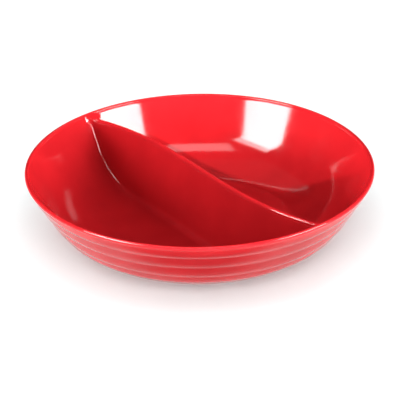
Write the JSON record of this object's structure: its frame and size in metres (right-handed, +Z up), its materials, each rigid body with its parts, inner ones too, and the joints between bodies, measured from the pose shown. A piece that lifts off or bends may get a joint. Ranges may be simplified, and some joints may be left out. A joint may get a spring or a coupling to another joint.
{
  "type": "divided serving dish",
  "caption": "Deep round glossy serving dish split into compartments by an S-shaped wall, with convex rings round the outside, a rounded rim and a foot ring to stand on.",
  "frame": {"origin": "centre of the dish on the surface that it stands on", "axes": "+Z up along the axis of the bowl, X along the divider, compartments towards +Y and -Y"},
  "size_m": [0.381, 0.381, 0.0865],
  "materials": {
    "red_melamine": "smooth moulded gloss, red all through"
  },
  "bodies": {
    "root": {"dish": "red_melamine", "divider": "red_melamine"}
  },
  "joints": []
}
